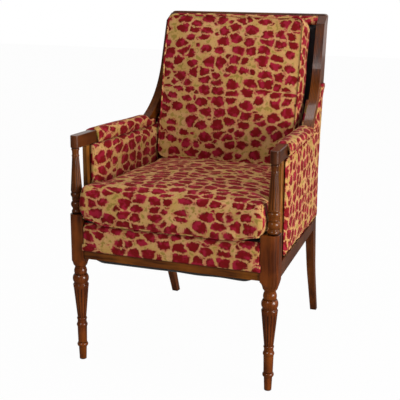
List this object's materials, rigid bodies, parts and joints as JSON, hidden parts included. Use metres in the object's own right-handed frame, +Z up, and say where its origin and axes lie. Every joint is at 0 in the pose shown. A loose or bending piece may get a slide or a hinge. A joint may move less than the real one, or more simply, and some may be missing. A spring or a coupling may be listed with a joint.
{
  "type": "bergere chair",
  "caption": "Open-fronted upholstered armchair with reeded turned front legs, swept stiles, sabre rear legs, padded arms and loose seat and back cushions",
  "frame": {"origin": "on the floor, under the middle of the chair's bounding box", "axes": "X to the sitter's left, Y from the front legs to the back, Z up"},
  "size_m": [0.5862, 0.6521, 0.936],
  "materials": {
    "mahogany": "satin varnish over dark red-brown stain",
    "hidden_beech": "unfinished",
    "screw_steel": "plain",
    "jute": "woven, matte",
    "black_cambric": "thin, matte",
    "black_lining": "matte",
    "deck_cloth": "plain, matte",
    "printed_fabric": "chenille, crimson spots on a gold ground",
    "cushion_filling": "ticking over soft filling"
  },
  "bodies": {
    "chair_frame": {"arm_baluster_left": "mahogany", "arm_baluster_right": "mahogany", "arm_pad_left": "printed_fabric", "arm_pad_right": "printed_fabric", "arm_rail_left": "mahogany", "arm_rail_right": "mahogany", "arm_stump_left": "mahogany", "arm_stump_right": "mahogany", "back_webbing": "jute", "corner_block_screws": "screw_steel", "corner_blocks": "hidden_beech", "crest_rail": "mahogany", "cross_webbing": "jute", "deck_burlap": "jute", "deck_pad": "deck_cloth", "dust_cover": "black_cambric", "front_border": "printed_fabric", "front_border_gimp": "printed_fabric", "front_leg_left": "mahogany", "front_leg_right": "mahogany", "front_seat_rail": "mahogany", "inside_arm_left": "printed_fabric", "inside_arm_right": "printed_fabric", "inside_back": "black_lining", "inside_back_band": "printed_fabric", "lower_back_rail": "hidden_beech", "outside_arm_left": "printed_fabric", "outside_arm_right": "printed_fabric", "outside_back": "printed_fabric", "rear_leg_left": "mahogany", "rear_leg_right": "mahogany", "rear_seat_rail": "mahogany", "seat_webbing": "jute", "side_seat_rail_left": "mahogany", "side_seat_rail_right": "mahogany", "stile_dowels": "hidden_beech", "swept_stile_left": "mahogany", "swept_stile_right": "mahogany"},
    "seat_cushion": {"seat_cushion_cover": "printed_fabric", "seat_cushion_core": "cushion_filling"},
    "back_cushion": {"back_cushion_cover": "printed_fabric", "back_cushion_core": "cushion_filling"}
  },
  "joints": [
    {"name": "seat_cushion_lift_out", "type": "slide", "parent": "chair_frame", "child": "seat_cushion", "axis": [0, -0.9994, 0.0349], "range_m": [0, 0.65]},
    {"name": "back_cushion_lift_out", "type": "slide", "parent": "chair_frame", "child": "back_cushion", "axis": [0, 0.2164, 0.9763], "range_m": [0, 0.6]}
  ]
}
